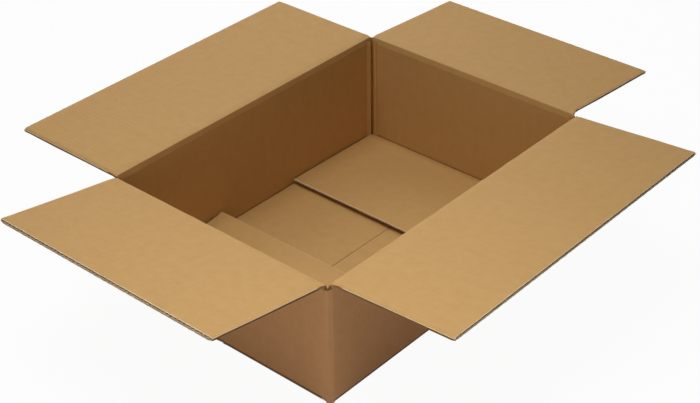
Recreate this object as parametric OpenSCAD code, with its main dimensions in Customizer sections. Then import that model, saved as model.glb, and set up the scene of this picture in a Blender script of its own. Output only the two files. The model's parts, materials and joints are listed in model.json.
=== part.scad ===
// Open regular slotted carton of double-wall corrugated board, standing with its top flaps open.
// X runs along the long side, Y along the short side, Z up; the origin is under the middle of the box.

/* [Box] */
// Outside length of the walls
box_length = 600; // [480:1:780]
// Outside width of the walls
box_width = 434; // [340:1:540]
// Height above the ground of the long flaps' underside when they lie level
rim_height = 200; // [150:1:320]

/* [Board] */
// Thickness of the double-wall board
board = 7; // [5:0.1:9]
// Outside radius of a folded edge
fold_r = 8; // [6:0.5:12]
// Radius of the bead that is pushed up inside each upright fold
bead_r = 7; // [3:0.5:9]
// Width of the crevice along the middle of each bead
crevice_width = 3; // [1:0.5:4]
// Depth of that crevice
crevice_depth = 4; // [1:0.5:6]

/* [Liners and flutes] */
// Thickness of each of the three liners
liner = 0.4; // [0.3:0.05:0.6]
// Thickness of the fluted paper
medium = 0.3; // [0.2:0.05:0.5]
// Repeat of the fine flutes, next to the outer liner
fine_pitch = 6.4; // [5.5:0.1:7]
// Height of the fine flutes
fine_height = 2.4; // [2:0.1:3]
// Repeat of the coarse flutes, next to the inner liner
coarse_pitch = 7.8; // [7:0.1:9]
// Share of the repeat that each flute is glued along
glued_share = 0.2; // [0.15:0.01:0.3]

/* [Slots and seams] */
// Width of the seam where two long flaps meet
seam_gap = 2; // [1:0.5:6]
// Gap left by the slot at each end of a long flap
long_end_gap = 3.5; // [3:0.5:6]
// Play at each side of a short flap between the corner folds
short_side_play = 1.5; // [1:0.5:6]
// Depth to which the slotting knife crushes the outer liner along a top flap's sides
side_crush = 2.5; // [0.5:0.1:3]
// Width of the strip that the knife crushes
side_crush_width = 6; // [3:0.5:12]
// Play between two layers of board that lie on each other
layer_gap = 0.3; // [0.2:0.1:1]
// Depth of the corner slots below the rim height
slot_depth = 0.5; // [0.5:0.5:6]

/* [Creases] */
// Radius of the crushed roll that a flap turns on
roll_r = 1; // [0.6:0.1:1.5]
// Play between a flap's root and the wall
crease_play = 0.3; // [0.2:0.05:0.6]
// Angle below level at which a flap's outer liner meets the wall's
droop_stop = 60; // [40:1:70]
// Crushed board that is left between a flap's bevel and its flutes
crush_margin = 2; // [1:0.5:5]

/* [Flap angles above level] */
// Long flap at the front
long_front_angle = 4.4; // [-20:0.1:40]
// Long flap at the back
long_back_angle = -0.5; // [-20:0.1:40]
// Short flap on the left
short_left_angle = 8.1; // [-20:0.1:40]
// Short flap on the right
short_right_angle = -4.2; // [-20:0.1:40]
// Inner bottom flap on the left, which springs up
bottom_left_lift = 6.7; // [0.2:0.1:10]
// Inner bottom flap on the right
bottom_right_lift = 1; // [0.2:0.1:10]

/* [Glued joint] */
// Width of the tab glued inside the left wall
tab_width = 35; // [20:1:50]
// Thickness of the crushed tab
tab_board = 4.5; // [3:0.5:7]
// Slope of the tab's ends
tab_slope = 15; // [5:1:30]
// Gap between the left wall's cut edge and the back wall's face
joint_gap = 2; // [1:0.5:5]

/* [Hidden] */
$fn = 48;
kraft = "#c19e6b";
half_l = box_length / 2;
half_w = box_width / 2;
half_board = board / 2;
// Each crease is in the middle of its wall, so that a flap reaches as far in as its board allows
flap_depth = half_w - half_board - seam_gap / 2;
long_flap_length = box_length - 2 * long_end_gap;
short_flap_width = box_width - 2 * (max(board, fold_r) + short_side_play);
// A closed long flap lies on the short walls' rolls, over the closed short flaps
long_axis_z = rim_height + half_board;
short_axis_z = rim_height - roll_r - crease_play;
root_start = roll_r + crease_play;
// The inner bevels meet when a flap is shut; the outer bevels meet at the droop stop
inner_bevel = 45;
outer_bevel = 90 - droop_stop;
long_bevel = outer_bevel / 2;
// The flutes are crushed flat from the crease to behind the longest bevel
crush_depth = crease_play / sin(long_bevel) + half_board / tan(long_bevel) + crush_margin;
coarse_height = board - 3 * liner - fine_height;
// Depth to which flutes and liners, and the board and its crushed root, share their paper, so that they are one solid
flute_bond = 0.1;
bottom_lap_z = board + layer_gap;
post_top = rim_height - slot_depth;
shut_short_flap_z = short_axis_z - board - crease_play;
// The beads and the tab stop short of the shut top flaps and the bottom flaps
bead_top_gap = 1;
bead_bottom_gap = 3;
bead_top = shut_short_flap_z - bead_top_gap;
bead_bottom = 2 * board + bead_bottom_gap;
bead_root = 1;
// How far a cutting shape stands out of what it cuts
cut_margin = 1;
// Thickness of the glue, which the tab reaches through
glue_line = 0.2;

// Board standing on its bottom fold, in the plane across the wall: outer face at 0, inside negative.
// The top narrows to the crease, where the board is crushed, and carries the roll.
module wall_profile(bottom_z, axis_z, bevel) {
    polygon([
        [0, bottom_z + fold_r],
        [0, axis_z - half_board / tan(bevel)],
        [-half_board, axis_z],
        [-board, axis_z - half_board / tan(inner_bevel)],
        [-board, bottom_z + fold_r]
    ]);
    translate([-half_board, axis_z]) circle(roll_r);
    intersection() {
        translate([-fold_r, bottom_z]) square(fold_r);
        translate([-fold_r, bottom_z + fold_r]) circle(fold_r);
    }
}

// Bottom flap folded in from a wall, lifted by an angle at its free edge
module bottom_flap_profile(bottom_z, lift) {
    translate([-fold_r, bottom_z])
        rotate(-lift)
            translate([fold_r + seam_gap / 2 - half_w, 0])
                square([half_w - seam_gap / 2 - fold_r, board]);
}

// Root of a flap seen from its end: u runs out from the crease, v points to the inner liner.
// It is bevelled on both sides, which clears the wall from shut to hanging.
module root_profile(under, over, bevel) {
    inner_shift = crease_play / sin(inner_bevel);
    outer_u = bevel > 0 ? (crease_play - under * cos(bevel)) / sin(bevel) : root_start;
    outer_v = bevel > 0 ? (crease_play - root_start * sin(bevel)) / cos(bevel) : under;
    polygon([
        [root_start, outer_v],
        [outer_u, under],
        [crush_depth, under],
        [crush_depth, over],
        [over / tan(inner_bevel) + inner_shift, over],
        [root_start, (root_start - inner_shift) * tan(inner_bevel)]
    ]);
}

// Fluted paper between two liners: flats at the glue lines, slopes between them
module flutes(length, pitch, low, height) {
    count = floor(length / pitch);
    flat = glued_share * pitch;
    trough = low - flute_bond;
    crest = low + height + flute_bond - medium;
    wave = [
        for (i = [0 : count - 1], half = [0, 1], end = [0, 1])
            [(i + (half - count) / 2) * pitch + (end - 1 / 2) * flat, half == 0 ? trough : crest]
    ];
    back = [for (i = [len(wave) - 1 : -1 : 0]) wave[i] + [0, medium]];
    polygon(concat(wave, back));
}

// What the slotting knife's crushing takes off a section below its outer liner, at both sides
module crushed_away(length) {
    crush_start = length / 2 - side_crush_width;
    cut_rise = side_crush * (side_crush_width + cut_margin) / side_crush_width;
    for (side = [0, 1])
        mirror([side, 0])
            polygon([
                [crush_start, 0],
                [crush_start, -cut_margin],
                [length / 2 + cut_margin, -cut_margin],
                [length / 2 + cut_margin, cut_rise]
            ]);
}

// Section across the flutes, from the outer liner up: liner, fine flutes, liner, coarse flutes, liner.
// The crushed sides are solid, with no flutes left.
module board_section(length) {
    middle = liner + fine_height;
    fluted = length - 2 * side_crush_width;
    for (v = [0, middle, board - liner])
        translate([-fluted / 2, v]) square([fluted, liner]);
    flutes(fluted, fine_pitch, liner, fine_height);
    flutes(fluted, coarse_pitch, middle + liner, coarse_height);
    difference() {
        for (side = [0, 1])
            mirror([side, 0])
                translate([fluted / 2, 0]) square([side_crush_width, board]);
        crushed_away(length);
    }
}

// Flap along X, with its crease on the X axis, reaching out along Y with its inner liner up.
// The flutes run out from the crushed root and are open at the free edge.
module board_flap(length, under, bevel) {
    difference() {
        rotate([90, 0, 90])
            linear_extrude(length, center = true)
                root_profile(under, under + board, bevel);
        translate([0, flap_depth, under])
            rotate([90, 0, 0])
                linear_extrude(flap_depth)
                    crushed_away(length);
    }
    translate([0, flap_depth, under])
        rotate([90, 0, 0])
            linear_extrude(flap_depth - crush_depth + flute_bond)
                board_section(length);
}

// Sweeps a profile along X, with the profile's outside towards +Y at the back wall
module along_back(length, middle = 0) {
    translate([middle, half_w, 0])
        rotate([90, 0, 90])
            linear_extrude(length, center = true)
                children();
}

// Sweeps a profile along Y, with the profile's outside towards +X at the right wall
module along_right(length, middle = 0) {
    translate([half_l, middle, 0])
        rotate([90, 0, 0])
            linear_extrude(length, center = true)
                children();
}

module long_wall(wall_length, middle) {
    along_back(wall_length, middle) wall_profile(0, long_axis_z, long_bevel);
    along_back(long_flap_length) bottom_flap_profile(0, 0);
}

module short_wall(wall_length, middle, lift) {
    along_right(wall_length, middle) wall_profile(bottom_lap_z, short_axis_z, outer_bevel);
    along_right(short_flap_width) bottom_flap_profile(bottom_lap_z, lift);
}

// Upright fold at the corner of +X and +Y, moved in along X by an inset
module upright_fold(inset) {
    translate([half_l - inset - fold_r, half_w - fold_r, bottom_lap_z])
        linear_extrude(post_top - bottom_lap_z)
            intersection() {
                square(fold_r);
                circle(fold_r);
            }
}

// Bead that the inner liner forms in the corner when the board is folded, creased along its middle
module corner_bead() {
    translate([half_l - board, half_w - board, bead_bottom])
        linear_extrude(bead_top - bead_bottom)
            difference() {
                intersection() {
                    circle(bead_r);
                    translate([-bead_r, -bead_r]) square(bead_r + bead_root);
                }
                rotate(225)
                    translate([bead_r - crevice_depth, 0])
                        polygon([
                            [0, 0],
                            [crevice_depth + cut_margin, -crevice_width / 2],
                            [crevice_depth + cut_margin, crevice_width / 2]
                        ]);
            }
}

// Room that a hanging long flap takes over the corner folds
module droop_relief() {
    along_back(box_length)
        polygon([
            [crease_play, long_axis_z - half_board / tan(long_bevel)],
            [crease_play, long_axis_z],
            [-half_board - crease_play, long_axis_z],
            [-crease_play, long_axis_z - half_board / tan(long_bevel)]
        ]);
}

// Tab of the back wall, turned round the corner and glued inside the left wall
module glue_tab() {
    tab_height = bead_top - bead_bottom;
    tab_rise = tab_width * tan(tab_slope);
    translate([board - half_l - glue_line, half_w - fold_r, bead_bottom])
        rotate([90, 0, 90])
            linear_extrude(tab_board + glue_line)
                polygon([
                    [0, 0],
                    [0, tab_height],
                    [-tab_width, tab_height - tab_rise],
                    [-tab_width, tab_rise]
                ]);
}

// Walls and bottom flaps, folded from one sheet and closed by the glued tab
module body() {
    plain_length = box_length - 2 * fold_r;
    glued_length = plain_length - board;
    plain_width = box_width - 2 * fold_r;
    glued_width = plain_width + fold_r - joint_gap;
    color(kraft) {
        long_wall(glued_length, half_board);
        mirror([0, 1, 0]) long_wall(plain_length, 0);
        difference() {
            union() {
                short_wall(plain_width, 0, bottom_right_lift);
                mirror([1, 0, 0])
                    short_wall(glued_width, (fold_r - joint_gap) / 2, bottom_left_lift);
                upright_fold(0);
                mirror([1, 0, 0]) upright_fold(board + glue_line);
                mirror([0, 1, 0]) upright_fold(0);
                mirror([1, 0, 0]) mirror([0, 1, 0]) upright_fold(0);
            }
            droop_relief();
            mirror([0, 1, 0]) droop_relief();
        }
        corner_bead();
        mirror([0, 1, 0]) corner_bead();
        mirror([1, 0, 0]) mirror([0, 1, 0]) corner_bead();
        glue_tab();
    }
}

// Long top flap of the back wall
module long_flap(angle) {
    color(kraft)
        translate([0, half_w - half_board, long_axis_z])
            rotate([angle, 0, 0])
                board_flap(long_flap_length, -half_board, long_bevel);
}

// Short top flap of the right wall
module short_flap(angle) {
    color(kraft)
        translate([half_l - half_board, 0, short_axis_z])
            rotate([angle, 0, -90])
                board_flap(short_flap_width, crease_play, 0);
}

module long_flap_front() {
    mirror([0, 1, 0]) long_flap(long_front_angle);
}

module long_flap_back() {
    long_flap(long_back_angle);
}

module short_flap_left() {
    mirror([1, 0, 0]) short_flap(short_left_angle);
}

module short_flap_right() {
    short_flap(short_right_angle);
}

body();
long_flap_front();
long_flap_back();
short_flap_left();
short_flap_right();
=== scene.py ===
"""Looks of an open slotted carton of double-wall corrugated board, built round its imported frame."""
import json
import math

import bmesh
import bpy
import numpy as np
from mathutils import Matrix, Vector


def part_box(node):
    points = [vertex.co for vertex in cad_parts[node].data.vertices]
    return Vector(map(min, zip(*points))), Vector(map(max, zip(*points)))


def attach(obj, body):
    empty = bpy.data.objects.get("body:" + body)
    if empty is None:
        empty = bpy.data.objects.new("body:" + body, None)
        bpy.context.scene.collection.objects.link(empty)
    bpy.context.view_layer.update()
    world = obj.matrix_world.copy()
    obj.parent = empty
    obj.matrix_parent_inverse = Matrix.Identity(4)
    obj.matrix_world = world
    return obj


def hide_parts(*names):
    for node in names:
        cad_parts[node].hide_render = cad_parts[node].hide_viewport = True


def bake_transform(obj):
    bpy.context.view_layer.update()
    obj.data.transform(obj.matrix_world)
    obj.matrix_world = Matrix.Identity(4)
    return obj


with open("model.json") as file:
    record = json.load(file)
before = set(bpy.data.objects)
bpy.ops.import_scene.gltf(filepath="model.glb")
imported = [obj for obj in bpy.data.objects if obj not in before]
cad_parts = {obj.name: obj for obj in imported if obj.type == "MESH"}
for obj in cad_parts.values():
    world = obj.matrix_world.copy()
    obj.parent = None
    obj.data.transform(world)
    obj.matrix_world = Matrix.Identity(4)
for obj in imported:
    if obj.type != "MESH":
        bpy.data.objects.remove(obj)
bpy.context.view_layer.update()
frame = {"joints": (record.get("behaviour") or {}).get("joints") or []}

MM = 0.001
UP = np.array([0.0, 0.0, 1.0])

# Board, from the outer liner in: liner, fine flutes, liner, coarse flutes, liner
BOARD = 7 * MM
LINER = 0.7 * MM
MEDIUM = 0.75 * MM
FINE_PITCH = 6.4 * MM
FINE_HEIGHT = 2.1 * MM
FINE_RECESS = 0.1 * MM
COARSE_PITCH = 7.8 * MM
COARSE_HEIGHT = BOARD - 3 * LINER - FINE_HEIGHT
COARSE_RECESS = 0.8 * MM
WASHBOARD = 0.06 * MM

# How finely board is meshed: rows near its end (mm from it), points a flute, rows before those
TOP_MESH = (6, 4, 2, 0.8, 0), 10, 4
BOTTOM_MESH = (5, 2, 0), 6, 2
MIDDLE_STEP = 3 * MM
WAVE_STEPS = 4

# Cut edges: the slotting knife crushes the sides most and rolls them over; the ends lean back
SIDE_CRUSH, SIDE_REACH = 0.42, 7 * MM
END_CRUSH, FRONT_END_CRUSH, END_REACH = 0.15, 0.3, 6 * MM
LONG_ROLL, SHORT_ROLL, ROLL_REACH = 2 * MM, 0.5 * MM, 4 * MM
SIDE_WANDER, SIDE_WANDER_REACH, SIDE_WAVE = 0.5 * MM, 4 * MM, 22 * MM
END_WANDER, END_WAVE = 0.25 * MM, 14 * MM
CUT_BEVEL, SIDE_BEVEL_REACH, END_BEVEL_REACH = 0.5 * MM, 1 * MM, 0.7 * MM
END_LEAN, BOTTOM_SLANT, LEAN_REACH = 1.3 * MM, 4 * MM, 12 * MM

# Upright folds, slots and seams
FOLD_R = 8 * MM
FOLD_LINE = 2.2 * MM
FOLD_ROUND = (0.5 * MM, 5)
BEAD_REACH = 13 * MM
BEAD_ROUND = (0.5 * MM, 4)
CORNER_POINTS = 61
CORNER_LOW = 2 * MM
GROOVE = 5 * MM
RAGGED, RAGGED_WAVE, RAGGED_RUN = 0.7 * MM, 5 * MM, 14 * MM
RAGGED_SEED = 31
SEAM_GAP = 2 * MM
LAYER_GAP = 0.3 * MM
LONG_END_GAP = 3.5 * MM
TOP_END_GAP = 7 * MM
SHORT_SIDE_PLAY = 1.5 * MM
SLOT_BOTTOM = 199.5 * MM
WALL_SHEET = 7

# Bottom flaps and their folds
LONG_BOTTOM_R, SHORT_BOTTOM_R, BOTTOM_R_POINTS = 7 * MM, 3.5 * MM, 13
CREVICE_ROUNDS = [(0.3 * MM, 3), (0.3 * MM, 3), (0.6 * MM, 7)]
BOTTOM_FLAT = 12 * MM
BOTTOM_SEAM = 1.1 * MM
BOTTOM_LIFTS = {"left": math.radians(6.7), "right": math.radians(1.0)}
SHORT_FOLD_Z = 4.3 * MM
WALL_START = 3 * MM

# Tab of the back wall, glued inside the left wall
TAB_WIDTH = 35 * MM
TAB_BOARD = 4.5 * MM
TAB_SLOPE = math.radians(15)
TAB_LOW = 17 * MM
TAB_HIGH = 190.4 * MM
TAB_START = 1 * MM
GLUE_LINE = 0.2 * MM
JOINT_GAP = 2 * MM

# Crease between a wall and its top flap: how far it reaches each way, its rim and its bends
CREASE_DOWN = 13 * MM
CREASE_OUT = 16 * MM
RIM_IN = 2 * MM
RIM_DIP = 2 * MM
RIM_SLOPE = 10 * MM
RIM_END = 8 * MM
RIM_ROUNDS = [(12 * MM, 5), (1.5 * MM, 7), (20 * MM, 5)]
UNDER_ROUND = (1.5 * MM, 17)
BULGE, BULGE_WAVE = 0.15 * MM, 40 * MM
BEND_OUT = 6.5 * MM

# Slots cut askew: how much longer they leave each end of a top flap, at its root and its free edge
SLOT_CUTS = {
    "back": ((-1 * MM, -1 * MM), (0, 0)),
    "left": ((0, 0), (1.5 * MM, 1.5 * MM)),
    "front": ((0, 0), (-6 * MM, 0)),
    "right": ((1 * MM, 1 * MM), (-7.3 * MM, -2.5 * MM)),
}

# Top flaps bow up a little towards their free edges
BOWS = {"left": 4.0 * MM, "back": 1.2 * MM, "right": 2.5 * MM}
BOW_POWER = 1.3

# Patterns of the paper, in features a metre across the sheet and along it
FIBRES, STREAKS, SPECKS = (350, 1600, 1), (160, 9, 1), (900, 1500, 1)
CLOUDS = 60.0
PAPER_SHINE = 0.35
RELIEF = 0.2 * MM
SHARP = math.radians(32)

# Photograph's frame and the camera that took it
PHOTO_WIDTH = 700
FOCAL_PIXELS = 1576.75
SENSOR = 36.0
CAMERA_AZIMUTH = math.radians(-48.596)
CAMERA_ELEVATION = math.radians(33.275)
CAMERA_ROLL = math.radians(-0.764)
CAMERA_DISTANCE = 2523.5 * MM
CAMERA_AIM = (-6.06 * MM, 85.21 * MM)

# Stage, and soft lamps as name, place, size and watts
FLOOR_HALF = 30.0
FLOOR_WHITE = 0.95
FLOOR_GLOW = 0.95
WORLD_FILL = 0.01
LAMP_AIM = (0, 0, 0.1)
LAMPS = [
    ("rear", (1.2, 1.4, 1.6), (1.4, 1.2), 15.5),
    ("overhead", (0.0, 0.2, 2.0), (1.0, 1.0), 10.2),
    ("left_top", (-0.8, 0.1, 2.0), (1.0, 1.0), 7.5),
    ("front_top", (-0.6, -0.6, 2.0), (1.0, 1.0), 2.2),
    ("low", (-1.25, -1.3, 0.15), (1.4, 0.2), 3.6),
    ("left_low", (-1.6, -0.5, 0.5), (1.0, 0.8), 3.0),
]

HALF_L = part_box("body")[1].x
HALF_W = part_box("body")[1].y
FLAP_DEPTH = HALF_W - BOARD / 2 - SEAM_GAP / 2
LONG_LENGTH = 2 * (HALF_L - LONG_END_GAP)
TOP_LENGTH = 2 * (HALF_L - TOP_END_GAP)
SHORT_LENGTH = 2 * (HALF_W - FOLD_R - SHORT_SIDE_PLAY)

# The last slot is a dark brown painted on the underside of the bottom folds as shade along the box's
# bottom edge.
KRAFT, CUT, FLUTE, OUTER, PAINTED_SHADE = range(5)


class Side:
    """One wall with its flaps: along its length, out from the box, and its top crease."""

    def __init__(self, name, quarter_turns, is_long):
        turn = math.radians(90 * quarter_turns)
        self.name = name
        self.is_long = is_long
        self.along = np.array([math.cos(turn), math.sin(turn), 0])
        self.out = np.array([-math.sin(turn), math.cos(turn), 0])
        self.half = HALF_W if is_long else HALF_L
        self.bottom_length = LONG_LENGTH if is_long else SHORT_LENGTH
        self.flap_length = TOP_LENGTH if is_long else SHORT_LENGTH
        self.roll = LONG_ROLL if is_long else SHORT_ROLL
        self.wall_length = 2 * ((HALF_L if is_long else HALF_W) - FOLD_R)
        self.node = ("long_flap_" if is_long else "short_flap_") + name
        self.body = name + "_flap"
        joint = next(j for j in frame["joints"] if j["child"] == self.body)
        self.axis_z = joint["pos_m"][2]
        self.angle = math.radians(180 - joint["range_deg"][1])
        self.under = -BOARD / 2 if is_long else LAYER_GAP
        self.bottom_z = 0 if is_long else BOARD + LAYER_GAP
        self.seed = 10 * quarter_turns + 100

    def place(self, s, p, z):
        """Point at s along the wall, p out from its outer face and z up."""
        s, p, z = (part[..., None] for part in np.broadcast_arrays(s, p, z))
        return s * self.along + (self.half + p) * self.out + z * UP

    def on_flap(self, u, v):
        """Place (p, z) of a point on the top flap: u out from the crease, v to its inner liner."""
        cos, sin = math.cos(self.angle), math.sin(self.angle)
        v = v + BOWS.get(self.name, 0) * (np.maximum(u, 0) / FLAP_DEPTH) ** BOW_POWER
        return u * cos - v * sin - BOARD / 2, u * sin + v * cos + self.axis_z

    def trimmed(self, s, u):
        """Place along a flap whose slots were cut a little wide, narrow or askew."""
        longer = [root + (tip - root) * u / FLAP_DEPTH for root, tip in SLOT_CUTS[self.name]]
        return s * (1 + 2 * np.where(s < 0, *longer) / self.flap_length)

    def flap_place(self, s, u, v):
        return self.place(self.trimmed(s, u), *self.on_flap(u, v))


SIDES = [
    Side("back", 0, True),
    Side("left", 1, False),
    Side("front", 2, True),
    Side("right", 3, False),
]


def smooth_noise(t, wavelength, seed):
    """Smooth wander between about -1 and 1 along t."""
    rng = np.random.default_rng(seed)
    total = np.zeros_like(np.asarray(t, float))
    for _ in range(5):
        turns = t / (wavelength * rng.uniform(0.5, 1.8))
        total += np.sin(2 * np.pi * turns + rng.uniform(0, 2 * np.pi))
    return total / 3


def wave(s, pitch):
    """Ups and downs of a liner over flutes of a pitch."""
    return np.cos(2 * np.pi * s / pitch)


def columns(length, step):
    """Evenly spaced places along a length, centred on 0."""
    return np.linspace(-length / 2, length / 2, max(2, int(round(length / step))) + 1)


def fade(gap, reach):
    """1 at an edge, falling smoothly to 0 at reach from it."""
    t = np.clip(gap / reach, 0, 1)
    return 1 - t * t * (3 - 2 * t)


def run_along(path):
    """Distance of each point of a path from its start."""
    steps = np.linalg.norm(np.diff(path, axis=0), axis=1)
    return np.concatenate([[0], np.cumsum(steps)])


def arc(centre, radius, start, end, count):
    """Points along an arc, angles in degrees."""
    angles = np.radians(np.linspace(start, end, count))
    return np.array(centre) + radius * np.stack([np.cos(angles), np.sin(angles)], -1)


def spaced(path, count):
    """Points evenly spaced along a path."""
    run = run_along(path)
    at = np.linspace(0, run[-1], count)
    return np.stack([np.interp(at, run, path[:, 0]), np.interp(at, run, path[:, 1])], -1)


def rounded(points, corners):
    """Path through points, each inner one rounded by its (radius, number of points)."""
    points = [np.array(point, float) for point in points]
    path = [points[0]]
    for before, at, after, (radius, count) in zip(points, points[1:], points[2:], corners):
        way_in = (at - before) / np.linalg.norm(at - before)
        way_out = (after - at) / np.linalg.norm(after - at)
        turn = math.acos(np.clip(way_in @ way_out, -1, 1))
        back = radius * math.tan(turn / 2)
        for t in np.linspace(0, 1, count):
            path.append(at - way_in * back * (1 - t) ** 2 + way_out * back * t**2)
    return np.array(path + [points[-1]])


def sheet_coords(x, y, number):
    """Place on the flat sheet, with a number that keeps its pieces apart."""
    x, y = np.broadcast_arrays(x, y)
    return np.stack([x, y, np.full(x.shape, number, float)], -1)


class Builder:
    """Gathers closed shells into one mesh, with each point's place on the flat sheet."""

    def __init__(self):
        self.points, self.sheet, self.faces, self.slots = [], [], [], []
        self.count = 0

    def quads(self, index, slot):
        """Faces of a grid of points; slot is one number or one for each row of faces."""
        a, b, c, d = index[:-1, :-1], index[:-1, 1:], index[1:, 1:], index[1:, :-1]
        self.faces += np.stack([a, b, c, d], -1).reshape(-1, 4).tolist()
        self.slots += np.broadcast_to(np.reshape(slot, (-1, 1)), a.shape).ravel().tolist()

    def slab(self, top, bottom, sheet, skins, edge=CUT, side=None):
        """Closed shell between two grids of points of the same shape."""
        side = edge if side is None else side
        rows, cols = top.shape[:2]
        n = rows * cols
        first = np.arange(n).reshape(rows, cols) + self.count
        second = first + n
        self.points += [top.reshape(-1, 3), bottom.reshape(-1, 3)]
        self.sheet += [sheet.reshape(-1, 3)] * 2
        self.count += 2 * n
        self.quads(first, skins[0])
        self.quads(second[::-1], np.ravel(skins[1])[::-1])
        for line_a, line_b, slot in (
            (second[0], first[0], edge),
            (first[-1], second[-1], edge),
            (first[:, 0], second[:, 0], side),
            (second[:, -1], first[:, -1], side),
        ):
            self.quads(np.stack([line_a, line_b]), slot)

    def finish(self, name, materials):
        """Object of all the shells, with crisp edges and its faces turned out."""
        mesh = bpy.data.meshes.new(name)
        mesh.from_pydata(np.concatenate(self.points).tolist(), [], self.faces)
        mesh.polygons.foreach_set("material_index", self.slots)
        mesh.polygons.foreach_set("use_smooth", [True] * len(self.faces))
        sheet = mesh.attributes.new("sheet", "FLOAT_VECTOR", "POINT")
        sheet.data.foreach_set("vector", np.concatenate(self.sheet).astype(np.float32).ravel())
        for material in materials:
            mesh.materials.append(material)
        bm = bmesh.new()
        bm.from_mesh(mesh)
        bmesh.ops.recalc_face_normals(bm, faces=bm.faces)
        bm.to_mesh(mesh)
        bm.free()
        mesh.set_sharp_from_angle(angle=SHARP)
        obj = bpy.data.objects.new(name, mesh)
        bpy.context.scene.collection.objects.link(obj)
        return obj


def fluted_board(
    builder, place, length, start, end, under, sheet_at, seed, mesh_steps,
    end_crush=END_CRUSH, keeps_inner=True, roll=0, slant=0, edge=CUT,
):
    """Board cut across its flutes at its end, with three liners and two rows of flutes.

    place(s, u, v) gives a point; the outer liner's face is at v = under and the flutes run along u.
    The edges are crushed towards the face that is kept. At the end the inner face, where it is
    kept, leans back from the middle liner, and the other face leans back by slant."""
    kept = under + BOARD if keeps_inner else under
    lean = END_LEAN if keeps_inner else 0
    end_rows, flute_steps, liner_rows = mesh_steps

    def pressed(s, u, v):
        """Point of the board after its edges were crushed, leant back and rolled over."""
        gap = length / 2 - np.abs(s)
        side_left = 1 - SIDE_CRUSH * fade(gap, SIDE_REACH)
        end_left = 1 - end_crush * fade(end - u, END_REACH)
        depth = 2 * np.abs(kept - v) / BOARD - 1
        back = lean * np.clip(-depth, 0, 1) + slant * np.clip(depth, 0, 1)
        low = (kept - v) * side_left * end_left + roll * fade(gap, ROLL_REACH)
        return place(s, u - back * fade(end - u, LEAN_REACH), kept - low)

    def rows(count):
        return np.concatenate(
            [np.linspace(start, end - LEAN_REACH, count), end - np.array(end_rows) * MM]
        )

    def liner(v, step, number, top_wave=0, under_wave=0, bevel=0, under_skin=KRAFT, side=FLUTE):
        """Flat sheet that shows the flutes' pitch as a wave where one is given."""
        s, u = np.meshgrid(columns(length, step), rows(liner_rows))
        gap = length / 2 - np.abs(s)
        side_wander = SIDE_WANDER * smooth_noise(u + s, SIDE_WAVE, seed + number)
        end_wander = END_WANDER * smooth_noise(s, END_WAVE, seed + 5 + number)
        s_cut = s + np.sign(s) * fade(gap, SIDE_WANDER_REACH) * side_wander
        u_cut = u + fade(end - u, END_REACH) * end_wander
        s_lip = s_cut + np.sign(s) * bevel * fade(gap, SIDE_BEVEL_REACH)
        u_lip = u_cut + bevel * fade(end - u, END_BEVEL_REACH)
        rise = WASHBOARD * wave(s, top_wave) if top_wave else 0
        drop = WASHBOARD * wave(s, under_wave) if under_wave else 0
        top = pressed(s_cut, u_cut, v + LINER + rise)
        bottom = pressed(s_lip, u_lip, v - drop)
        builder.slab(top, bottom, sheet_at(s, u), (KRAFT, under_skin), edge, side)

    def flutes(v, height, pitch, recess):
        """Row of flutes, set back a little from the end."""
        s, u = np.meshgrid(columns(length - pitch, pitch / flute_steps), rows(2) - recess)
        swing = (height - MEDIUM) / 2
        slope = swing * 2 * np.pi / pitch * np.sin(2 * np.pi * s / pitch)
        half_thick = MEDIUM / 2 * np.sqrt(1 + slope**2)
        middle = v + height / 2 + swing * wave(s, pitch)
        top, bottom = pressed(s, u, middle + half_thick), pressed(s, u, middle - half_thick)
        builder.slab(top, bottom, sheet_at(s, u), (FLUTE, FLUTE), edge, FLUTE)

    middle, inner = under + LINER + FINE_HEIGHT, under + BOARD - LINER
    liner(under, FINE_PITCH / WAVE_STEPS, 1, under_wave=FINE_PITCH, under_skin=OUTER)
    liner(middle, MIDDLE_STEP, 2)
    liner(inner, COARSE_PITCH / WAVE_STEPS, 3, top_wave=COARSE_PITCH, bevel=CUT_BEVEL, side=CUT)
    flutes(under + LINER, FINE_HEIGHT, FINE_PITCH, FINE_RECESS)
    flutes(middle + LINER, COARSE_HEIGHT, COARSE_PITCH, COARSE_RECESS)


def top_flap(side, materials):
    """Top flap from behind its crease to its fluted free edge."""
    builder = Builder()
    fluted_board(
        builder,
        side.flap_place,
        side.flap_length,
        CREASE_OUT,
        FLAP_DEPTH,
        side.under,
        lambda s, u: sheet_coords(s, u + side.axis_z, side.seed),
        side.seed,
        TOP_MESH,
        FRONT_END_CRUSH if side.name == "front" else END_CRUSH,
        roll=side.roll,
    )
    obj = builder.finish("flap_" + side.name, materials)
    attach(obj, side.body)
    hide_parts(side.node)


def crease_skins(side):
    """Inner and outer liner across the crease, wall first, as (p, z) points of equal number."""
    foot = side.axis_z - CREASE_DOWN
    level = side.under + BOARD
    rim = side.on_flap(-RIM_IN, level - RIM_DIP)
    inner = rounded(
        [
            (-BOARD, foot),
            (-BOARD, rim[1] - RIM_SLOPE),
            rim,
            side.on_flap(RIM_END, level),
            side.on_flap(CREASE_OUT, level),
        ],
        RIM_ROUNDS,
    )
    under_rim = (0, side.on_flap(BOARD / 2, side.under)[1])
    outer = rounded([(0, foot), under_rim, side.on_flap(CREASE_OUT, side.under)], [UNDER_ROUND])
    return inner, outer


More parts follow.
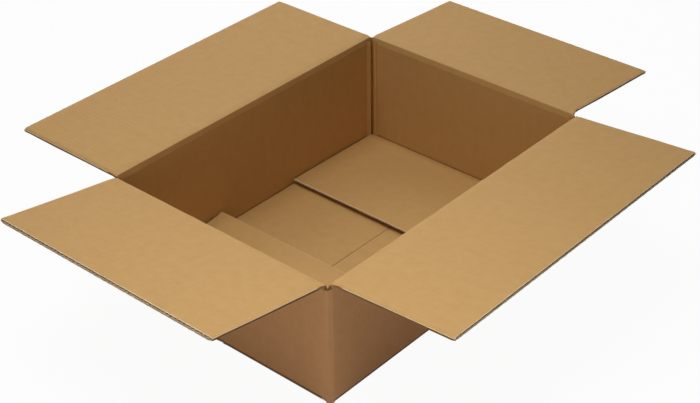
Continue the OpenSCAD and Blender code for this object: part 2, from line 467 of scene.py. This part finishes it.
def crease(side, materials):
    """Bent strip of board between a wall and its top flap."""
    builder = Builder()
    inner, outer = crease_skins(side)
    share = np.linspace(0, 1, len(inner))[:, None]
    length = side.wall_length + share * (side.flap_length - side.wall_length)
    across = [[-0.5, -0.497], columns(0.988, 1 / 150), [0.497, 0.5]]
    s = np.concatenate(across)[None, :] * length
    gap = length / 2 - np.abs(s)
    squeeze = SIDE_CRUSH * fade(gap, SIDE_REACH) * np.sqrt(share)
    roll = side.roll * fade(gap, ROLL_REACH) * share
    bulge = np.sin(np.pi * share) ** 2 * BULGE * smooth_noise(s, BULGE_WAVE, side.seed)
    up_sheet = side.axis_z - CREASE_DOWN + run_along(inner)
    sheet = sheet_coords(s, up_sheet[:, None], side.seed)
    inner_p, inner_z, outer_p, outer_z = inner[:, :1], inner[:, 1:], outer[:, :1], outer[:, 1:]
    along = side.trimmed(s, share * CREASE_OUT) * share + s * (1 - share)
    under_p = outer_p + (inner_p - outer_p) * squeeze
    under_z = outer_z + (inner_z - outer_z) * squeeze
    top = side.place(along, inner_p - bulge, inner_z + bulge - roll)
    bottom = side.place(along, under_p, under_z - roll)
    builder.slab(top, bottom, sheet, (KRAFT, OUTER), FLUTE)
    obj = builder.finish("crease_" + side.name, materials)
    start, end = outer[0], np.array(side.on_flap(BEND_OUT, side.under))
    bisector = math.pi / 4 + side.angle / 2
    direction = np.array([math.cos(bisector), math.sin(bisector)])
    end = start + direction * float((end - start) @ direction)
    tuple(side.place(0.0, start[0], start[1]))
    tuple(side.place(0.0, end[0], end[1]))
    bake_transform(obj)


def fold_path():
    """Outer liner round an upright fold, as places along its first and second wall.

    It turns at a crisp line scored on the first wall."""
    return rounded([(FOLD_R, 0), (FOLD_LINE, 0), (0, FOLD_R)], [FOLD_ROUND])


def bead_path():
    """Inner liner round an upright fold: a narrow bead, a crevice and a wide bead, points in mm."""
    narrow_bead = [(13, 0), (12, 0), (11, -1), (10, 1.2), (7, 2.6), (5, 1.9)]
    crevice = [(-2, -2)]
    wide_bead = [(1.9, 5), (3.4, 7), (0, 13)]
    points = np.array(narrow_bead + crevice + wide_bead) * MM
    return rounded(points, [BEAD_ROUND] * (len(points) - 2))


def wall_ring(builder):
    """Four walls and the glued tab as one strip, from the left wall's cut edge to the tab's end."""
    step = COARSE_PITCH / WAVE_STEPS
    wave_fade = 6
    inner_l, inner_w = HALF_L - BOARD, HALF_W - BOARD
    fold_l, fold_w = HALF_L - FOLD_R, HALF_W - FOLD_R
    bead_l, bead_w = inner_l - BEAD_REACH, inner_w - BEAD_REACH
    tab_x = -inner_l + GLUE_LINE
    tab_inner = tab_x + TAB_BOARD
    turn_x = tab_x + FOLD_R
    tab_bend = turn_x - tab_inner
    tab_end = fold_w - TAB_WIDTH
    long_span = BOARD + WALL_START, SIDES[0].axis_z - CREASE_DOWN
    short_span = SHORT_FOLD_Z + BOARD + WALL_START, SIDES[1].axis_z - CREASE_DOWN
    outer, inner, low, high = [], [], [], []

    def straight(a_out, b_out, a_in, b_in, span, wave_axis, slope=0):
        """Flat wall or tab between its ends on the outer and inner liner."""
        length = np.linalg.norm(np.subtract(b_out, a_out))
        count = max(2, int(length / step))
        t = np.linspace(0, 1, count)[:, None]
        out_line = np.array(a_out) + t * np.subtract(b_out, a_out)
        in_line = np.array(a_in) + t * np.subtract(b_in, a_in)
        normal = np.array([b_out[1] - a_out[1], a_out[0] - b_out[0]])
        normal = normal / np.linalg.norm(normal)
        ends = np.clip(np.minimum(t, 1 - t) * count / wave_fade, 0, 1)
        out_wave = wave(out_line[:, wave_axis], FINE_PITCH)[:, None]
        in_wave = wave(in_line[:, wave_axis], COARSE_PITCH)[:, None]
        outer.append(out_line + normal * WASHBOARD * out_wave * ends)
        inner.append(in_line - normal * WASHBOARD * in_wave * ends)
        rise = t[:, 0] * length * math.tan(slope)
        low.append(span[0] + rise)
        high.append(span[1] - rise)

    def bend(out_path, in_path):
        """Upright fold, ragged at its top, where the slot ends."""
        count = CORNER_POINTS - 2
        outer.append(spaced(out_path, CORNER_POINTS)[1:-1])
        inner.append(spaced(in_path, CORNER_POINTS)[1:-1])
        along = np.linspace(0, RAGGED_RUN, count)
        ragged = RAGGED * smooth_noise(along, RAGGED_WAVE, RAGGED_SEED + len(high))
        low.append(np.full(count, CORNER_LOW))
        high.append(SLOT_BOTTOM + ragged)

    def corner(side_x, side_y, first, second):
        """Fold at the corner on side_x and side_y; first and second lead away along its walls."""
        ways = np.array([first, second])
        way = np.array([side_x, side_y])
        bend(
            way * (HALF_L, HALF_W) + fold_path() @ ways,
            way * (inner_l, inner_w) + bead_path() @ ways,
        )

    straight(
        (-HALF_L, HALF_W - JOINT_GAP), (-HALF_L, -fold_w),
        (-inner_l, HALF_W - JOINT_GAP), (-inner_l, -bead_w), short_span, 1,
    )
    corner(-1, -1, (0, 1), (1, 0))
    straight(
        (-fold_l, -HALF_W), (fold_l, -HALF_W),
        (-bead_l, -inner_w), (bead_l, -inner_w), long_span, 0,
    )
    corner(1, -1, (-1, 0), (0, 1))
    straight(
        (HALF_L, -fold_w), (HALF_L, fold_w),
        (inner_l, -bead_w), (inner_l, bead_w), short_span, 1,
    )
    corner(1, 1, (0, -1), (-1, 0))
    straight(
        (fold_l, HALF_W), (turn_x, HALF_W),
        (bead_l, inner_w), (turn_x, inner_w), long_span, 0,
    )
    bend(
        arc((turn_x, fold_w), FOLD_R, 90, 180, CORNER_POINTS),
        arc((turn_x, inner_w - tab_bend), tab_bend, 90, 180, CORNER_POINTS),
    )
    straight(
        (tab_x, fold_w - TAB_START), (tab_x, tab_end),
        (tab_inner, inner_w - tab_bend - TAB_START), (tab_inner, tab_end),
        (TAB_LOW, TAB_HIGH), 1, TAB_SLOPE,
    )
    outer, inner = np.concatenate(outer), np.concatenate(inner)
    low, high = np.concatenate(low), np.concatenate(high)
    wall_rows = np.array([0, 0.25, 0.5, 0.75, 0.95, 1])[:, None]
    lip_rows = [0.12, 0.45]
    z = np.concatenate([low + wall_rows * (high - low), [high, high - GROOVE]])
    lip = np.array([0.0] * len(wall_rows) + lip_rows)[:, None, None]
    sheet = sheet_coords(run_along(outer), z, WALL_SHEET)

    def stack(lines):
        return np.concatenate([lines, z[..., None]], -1)

    face_rows, top_edge = len(wall_rows) - 1, [FLUTE] * len(lip_rows)
    skins = [OUTER] * face_rows + top_edge, [KRAFT] * face_rows + top_edge
    outside, inside = stack(outer + lip * (inner - outer)), stack(inner + lip * (outer - inner))
    builder.slab(outside, inside, sheet, skins, FLUTE)


def bottom_flap(builder, side):
    """Bottom flap with its fold, closed under the box or lying over the others."""
    lift = BOTTOM_LIFTS.get(side.name, 0)
    cos, sin = math.cos(lift), math.sin(lift)
    base = side.bottom_z
    reach = HALF_W - BOTTOM_SEAM / 2 - FOLD_R
    fold_z, fold_r = (0, LONG_BOTTOM_R) if side.is_long else (SHORT_FOLD_Z, SHORT_BOTTOM_R)
    inner_z = fold_z + BOARD

    def on_flap(u, v):
        return -FOLD_R - u * cos + v * sin, base + u * sin + v * cos

    def place(s, u, v):
        return side.place(s, *on_flap(u, v))

    outer = rounded(
        [(0, inner_z + WALL_START), (0, fold_z), on_flap(BOTTOM_FLAT, 0)],
        [(fold_r, BOTTOM_R_POINTS)],
    )
    inner = rounded(
        [
            (-BOARD, inner_z + WALL_START),
            (-BOARD, inner_z + 1.8 * MM),
            (3.5 * MM - BOARD, inner_z - 1.2 * MM),
            (-BOARD - 1.2 * MM, inner_z + 0.3 * MM),
            on_flap(BOTTOM_FLAT, BOARD),
        ],
        CREVICE_ROUNDS,
    )
    share = np.linspace(0, 1, len(outer))[:, None]
    length = side.wall_length + share * (side.bottom_length - side.wall_length)
    s = columns(1, 1 / 30)[None, :] * length
    sheet = sheet_coords(s, outer[:, 1:] - base + outer[:, :1], side.seed + 3)
    outside = side.place(s, outer[:, :1], outer[:, 1:])
    inside = side.place(s, inner[:, :1], inner[:, 1:])
    # Past its first row the fold's outside is painted dark brown as shade along the bottom edge.
    fold_skin = [OUTER] + [PAINTED_SHADE] * (len(outer) - 2)
    builder.slab(outside, inside, sheet, (fold_skin, KRAFT))
    fluted_board(
        builder,
        place,
        side.bottom_length,
        BOTTOM_FLAT,
        reach,
        0,
        lambda s, u: sheet_coords(s, -u, side.seed + 3),
        side.seed + 50,
        BOTTOM_MESH,
        keeps_inner=not side.is_long,
        roll=0 if side.is_long else SHORT_ROLL,
        slant=0 if side.is_long else BOTTOM_SLANT,
        edge=FLUTE if side.is_long else CUT,
    )


def carton_body(materials):
    """Walls, glued tab and bottom flaps, folded from one sheet."""
    builder = Builder()
    wall_ring(builder)
    for side in SIDES:
        bottom_flap(builder, side)
    obj = builder.finish("carton_body", materials)
    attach(obj, "box")
    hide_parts("body")


def srgb(red, green, blue):
    """Linear colour from 8-bit screen values."""
    values = [c / 255 for c in (red, green, blue)]
    linear = [c / 12.92 if c <= 0.04045 else ((c + 0.055) / 1.055) ** 2.4 for c in values]
    return (*linear, 1.0)


class Nodes:
    """Short calls to build the nodes of a material or world."""

    def __init__(self, owner):
        owner.use_nodes = True
        self.tree = owner.node_tree
        self.shader = self.tree.nodes.get("Principled BSDF")

    def add(self, kind, **inputs):
        node = self.tree.nodes.new(kind)
        for key, value in inputs.items():
            self.set(node.inputs[key], value)
        return node

    def set(self, socket, value):
        if isinstance(value, bpy.types.NodeSocket):
            self.tree.links.new(value, socket)
        else:
            socket.default_value = value

    def math(self, operation, *values):
        node = self.tree.nodes.new("ShaderNodeMath")
        node.operation = operation
        for socket, value in zip(node.inputs, values):
            self.set(socket, value)
        return node.outputs[0]

    def scaled(self, vector, scale):
        node = self.tree.nodes.new("ShaderNodeVectorMath")
        node.operation = "MULTIPLY"
        self.set(node.inputs[0], vector)
        self.set(node.inputs[1], scale)
        return node.outputs[0]

    def noise(self, vector, scale, detail, roughness):
        node = self.add(
            "ShaderNodeTexNoise", Vector=vector, Scale=scale, Detail=detail, Roughness=roughness
        )
        return node.outputs["Fac"]

    def span(self, value, from_low, from_high, to_low, to_high):
        """Value brought from one range to another, and held there."""
        node = self.add("ShaderNodeMapRange", Value=value)
        names = "From Min", "From Max", "To Min", "To Max"
        for key, number in zip(names, (from_low, from_high, to_low, to_high)):
            node.inputs[key].default_value = number
        return node.outputs["Result"]

    def mix(self, factor, a, b):
        node = self.tree.nodes.new("ShaderNodeMix")
        node.data_type = "RGBA"
        for name, value in (("Factor_Float", factor), ("A_Color", a), ("B_Color", b)):
            socket = next(x for x in node.inputs if x.identifier == name)
            self.set(socket, value)
        return next(x for x in node.outputs if x.identifier == "Result_Color")


def paper_material(name, colour, dark, light, roughness, bump, contrast):
    """Kraft paper: fibres along the machine direction, mottling, streaks and specks."""
    material = bpy.data.materials.new(name)
    n = Nodes(material)
    sheet = n.add("ShaderNodeAttribute")
    sheet.attribute_name = "sheet"
    place = sheet.outputs["Vector"]
    fibres = n.noise(n.scaled(place, FIBRES), 1.0, 4.0, 0.65)
    cloud = n.noise(place, CLOUDS, 4.0, 0.6)
    streak = n.noise(n.scaled(place, STREAKS), 1.0, 3.0, 0.6)
    specks = n.noise(n.scaled(place, SPECKS), 1.0, 2.0, 0.5)
    shade = n.mix(n.span(cloud, 0.3, 0.7, 0, 0.5 * contrast), srgb(*colour), srgb(*dark))
    shade = n.mix(n.span(fibres, 0.35, 0.75, 0, contrast), shade, srgb(*light))
    shade = n.mix(n.span(streak, 0.45, 0.8, 0, 0.2 * contrast), shade, srgb(*dark))
    shade = n.mix(n.span(specks, 0.68, 0.8, 0, 0.6 * contrast), shade, srgb(*dark))
    matte = n.span(cloud, 0.3, 0.7, roughness - 0.05, roughness + 0.06)
    n.set(n.shader.inputs["Base Color"], shade)
    n.set(n.shader.inputs["Roughness"], matte)
    n.shader.inputs["Specular IOR Level"].default_value = PAPER_SHINE
    height = n.math("ADD", fibres, n.math("MULTIPLY", cloud, 0.6))
    relief = n.add("ShaderNodeBump", Strength=bump, Distance=RELIEF, Height=height)
    n.set(n.shader.inputs["Normal"], relief.outputs["Normal"])
    return material


def board_materials():
    """Materials in the order of their slots: liner, cut edge, flutes, outer liner, and a dark brown
    painted as shade on the bottom folds.

    Each has its colour, a darker and a lighter one, roughness, bump and contrast."""
    papers = [
        ("kraft_liner", (196, 152, 91), (182, 136, 77), (206, 166, 107), 0.72, 0.25, 0.75),
        ("cut_edge", (242, 220, 184), (208, 174, 128), (248, 232, 204), 0.9, 0.6, 0.9),
        ("fluted_paper", (150, 110, 66), (122, 86, 48), (172, 134, 88), 0.88, 0.4, 0.8),
        ("outer_liner", (184, 134, 85), (170, 119, 72), (195, 148, 100), 0.72, 0.3, 1.0),
        # Painted shade: dark brown for the underside of the bottom folds, in place of the shade along
        # the bottom edge.
        ("scuffed_fold", (100, 65, 36), (82, 52, 27), (118, 82, 49), 0.85, 0.4, 0.8),
    ]
    return [paper_material(*paper) for paper in papers]


def is_seen(n):
    """1 for rays that show the stage: from the camera, in reflections and through glass."""
    path = n.add("ShaderNodeLightPath")
    seen = n.math("MAXIMUM", path.outputs["Is Camera Ray"], path.outputs["Is Glossy Ray"])
    return n.math("MAXIMUM", seen, path.outputs["Is Transmission Ray"])


def white_floor():
    """Plain pale floor that shows white but keeps a faint shadow."""
    mesh = bpy.data.meshes.new("floor")
    signs = (-1, -1), (1, -1), (1, 1), (-1, 1)
    mesh.from_pydata([(x * FLOOR_HALF, y * FLOOR_HALF, 0) for x, y in signs], [], [(0, 1, 2, 3)])
    floor = bpy.data.objects.new("floor", mesh)
    bpy.context.scene.collection.objects.link(floor)
    material = bpy.data.materials.new("floor_white")
    n = Nodes(material)
    n.shader.inputs["Base Color"].default_value = (FLOOR_WHITE, FLOOR_WHITE, FLOOR_WHITE, 1)
    n.shader.inputs["Roughness"].default_value = 0.9
    n.shader.inputs["Specular IOR Level"].default_value = 0.0
    glow = n.add("ShaderNodeEmission", Strength=1.0)
    mixed = n.add("ShaderNodeMixShader")
    n.set(mixed.inputs[0], n.math("MULTIPLY", is_seen(n), FLOOR_GLOW))
    n.set(mixed.inputs[1], n.shader.outputs[0])
    n.set(mixed.inputs[2], glow.outputs[0])
    n.set(n.tree.nodes["Material Output"].inputs["Surface"], mixed.outputs[0])
    mesh.materials.append(material)


def white_world():
    """White where it is seen, and a faint fill light otherwise."""
    world = bpy.data.worlds.new("studio")
    bpy.context.scene.world = world
    n = Nodes(world)
    level = n.math("ADD", WORLD_FILL, n.math("MULTIPLY", is_seen(n), 1 - WORLD_FILL))
    background = n.tree.nodes["Background"]
    background.inputs["Color"].default_value = (1, 1, 1, 1)
    n.set(background.inputs["Strength"], level)


def soft_light(name, place, size, watts, aim=LAMP_AIM):
    """Rectangular lamp turned towards its aim."""
    data = bpy.data.lights.new(name, "AREA")
    data.shape = "RECTANGLE"
    data.size, data.size_y = size
    data.energy = watts
    lamp = bpy.data.objects.new(name, data)
    lamp.location = place
    lamp.rotation_mode = "QUATERNION"
    lamp.rotation_quaternion = (Vector(aim) - Vector(place)).to_track_quat("-Z", "Y")
    bpy.context.scene.collection.objects.link(lamp)
    return data


def studio_camera():
    """Camera where the photograph was taken from."""
    az, el = CAMERA_AZIMUTH, CAMERA_ELEVATION
    level = math.cos(el)
    back = Vector((math.sin(az) * level, -math.cos(az) * level, math.sin(el)))
    right = (-back).cross(Vector(UP)).normalized()
    up = right.cross(-back)
    cos, sin = math.cos(CAMERA_ROLL), math.sin(CAMERA_ROLL)
    right, up = cos * right + sin * up, cos * up - sin * right
    data = bpy.data.cameras.new("camera")
    data.sensor_width = SENSOR
    data.lens = FOCAL_PIXELS * SENSOR / PHOTO_WIDTH
    camera = bpy.data.objects.new("camera", data)
    place = right * CAMERA_AIM[0] + up * CAMERA_AIM[1] + back * CAMERA_DISTANCE
    turn = Matrix((right, up, back)).transposed().to_4x4()
    camera.matrix_world = Matrix.Translation(place) @ turn
    bpy.context.scene.collection.objects.link(camera)
    bpy.context.scene.camera = camera


studio_camera()
board = board_materials()
carton_body(board)
for side in SIDES:
    top_flap(side, board)
    crease(side, board)

white_floor()
white_world()
for lamp in LAMPS:
    soft_light(*lamp)
corner_lamp = soft_light("corner", (-0.45, -0.4, 1.6), (0.4, 0.4), 0.8, aim=(-0.45, -0.4, 0))
corner_lamp.spread = math.radians(60)

bpy.context.scene.view_settings.view_transform = "Standard"
